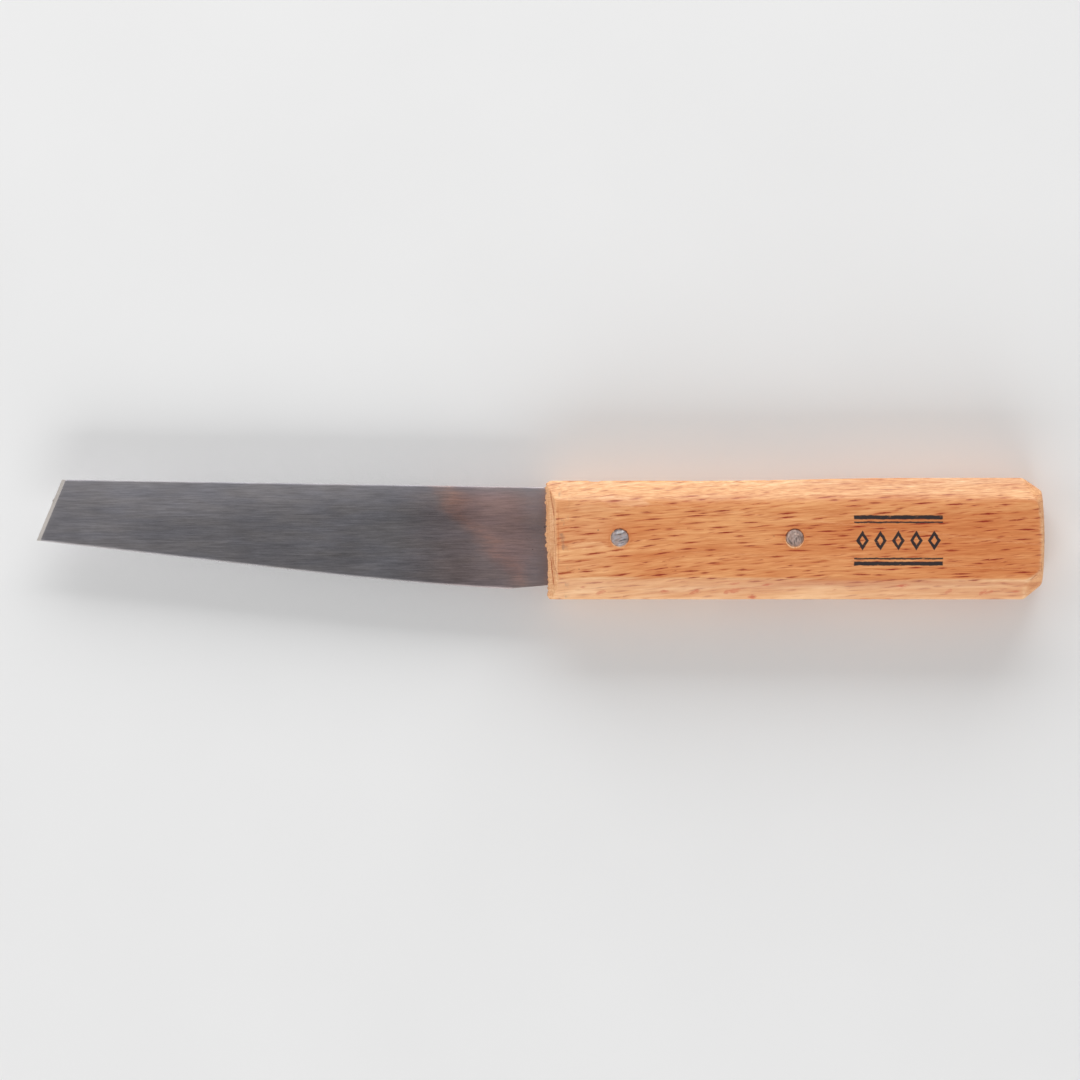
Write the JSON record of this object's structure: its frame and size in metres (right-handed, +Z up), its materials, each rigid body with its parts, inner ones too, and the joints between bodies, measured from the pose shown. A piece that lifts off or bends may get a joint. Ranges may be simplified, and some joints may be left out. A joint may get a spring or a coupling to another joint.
{
  "type": "shoe knife",
  "caption": "Fixed-blade shoe knife for leather: a flat skew-ended steel blade riveted into a slotted, chamfered beech handle.",
  "frame": {"origin": "under the middle of the knife's bounding box, on the plane the lower cheek of the handle rests on", "axes": "+X from the blade's point to the handle's butt, +Y from the cutting edge to the spine, +Z up through the thickness of the knife lying flat"},
  "size_m": [0.2136, 0.0256, 0.0143],
  "materials": {
    "blade_steel": "lengthwise ground carbon steel with a brown heat tint near the handle",
    "beech": "sanded, lightly oiled steamed beech",
    "rivet_iron": "iron wire ground flush, coarse diagonal scratches"
  },
  "bodies": {
    "root": {"blade": "blade_steel", "handle": "beech", "front_rivet": "rivet_iron", "rear_rivet": "rivet_iron"}
  },
  "joints": []
}
